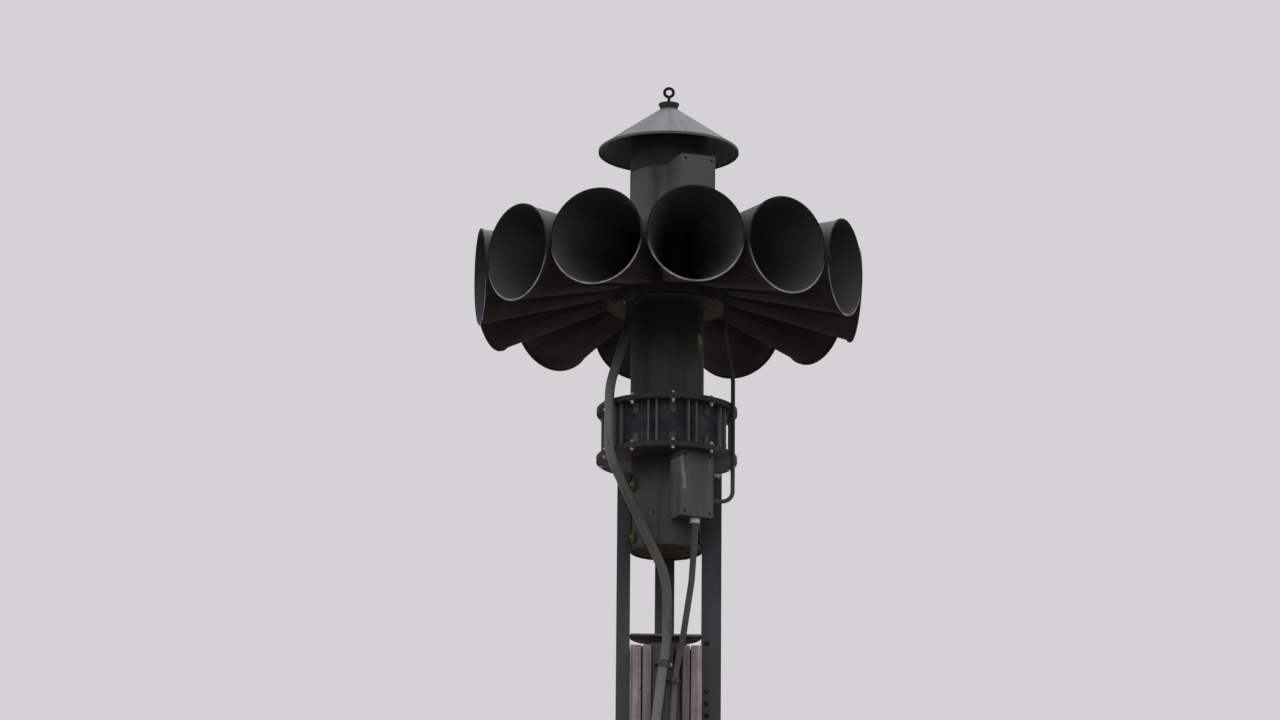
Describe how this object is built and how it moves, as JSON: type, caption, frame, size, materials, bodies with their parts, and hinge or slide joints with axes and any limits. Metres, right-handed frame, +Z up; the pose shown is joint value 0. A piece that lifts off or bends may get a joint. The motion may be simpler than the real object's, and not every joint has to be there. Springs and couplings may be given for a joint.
{
  "type": "civil defense siren on a pole",
  "caption": "Outdoor warning siren with a ring of round horns, a conical rain cap and a motor can, carried by steel legs on a weathered timber pole",
  "frame": {"origin": "Middle of the timber pole's base at ground level.", "axes": "+Z is up along the pole. -Y is the front, the side that one horn faces. The ring's other horns follow every 30 degrees, and the boxes stand a little toward +X from the front."},
  "size_m": [1.5228, 1.5228, 9.785],
  "materials": {
    "siren_paint": "matte",
    "leg_paint": "matte",
    "rusty_steel": "matte",
    "pole_timber": "matte",
    "board_timber": "matte",
    "ochre_steel": "matte",
    "conduit_jacket": "matte",
    "zinc_steel": "satin"
  },
  "bodies": {
    "root": {"timber_pole": "pole_timber", "packing_boards": "board_timber", "pole_cap_plate": "rusty_steel", "left_leg": "leg_paint", "right_leg": "leg_paint", "rear_leg": "leg_paint", "leg_lugs": "ochre_steel", "motor_can": "siren_paint", "motor_end_plate": "rusty_steel", "lower_flange": "siren_paint", "upper_flange": "siren_paint", "intake_posts": "siren_paint", "intake_screen": "rusty_steel", "intake_clips": "siren_paint", "shaft_tube": "rusty_steel", "neck_tube": "siren_paint", "plenum_floor": "rusty_steel", "plenum_wall": "siren_paint", "plenum_roof": "siren_paint", "rotor": "rusty_steel", "horn_01": "siren_paint", "horn_02": "siren_paint", "horn_03": "siren_paint", "horn_04": "siren_paint", "horn_05": "siren_paint", "horn_06": "siren_paint", "horn_07": "siren_paint", "horn_08": "siren_paint", "horn_09": "siren_paint", "horn_10": "siren_paint", "horn_11": "siren_paint", "horn_12": "siren_paint", "upper_housing": "siren_paint", "rain_cap": "siren_paint", "cap_screen": "rusty_steel", "cap_struts": "siren_paint", "cap_collar": "siren_paint", "lifting_eye": "rusty_steel", "lower_box": "siren_paint", "lower_box_lid": "siren_paint", "upper_box": "siren_paint", "upper_box_lid": "siren_paint", "main_conduit": "conduit_jacket", "motor_conduit": "conduit_jacket", "link_conduit": "conduit_jacket", "conduit_glands": "zinc_steel", "main_straps": "zinc_steel", "motor_straps": "zinc_steel"}
  },
  "joints": []
}
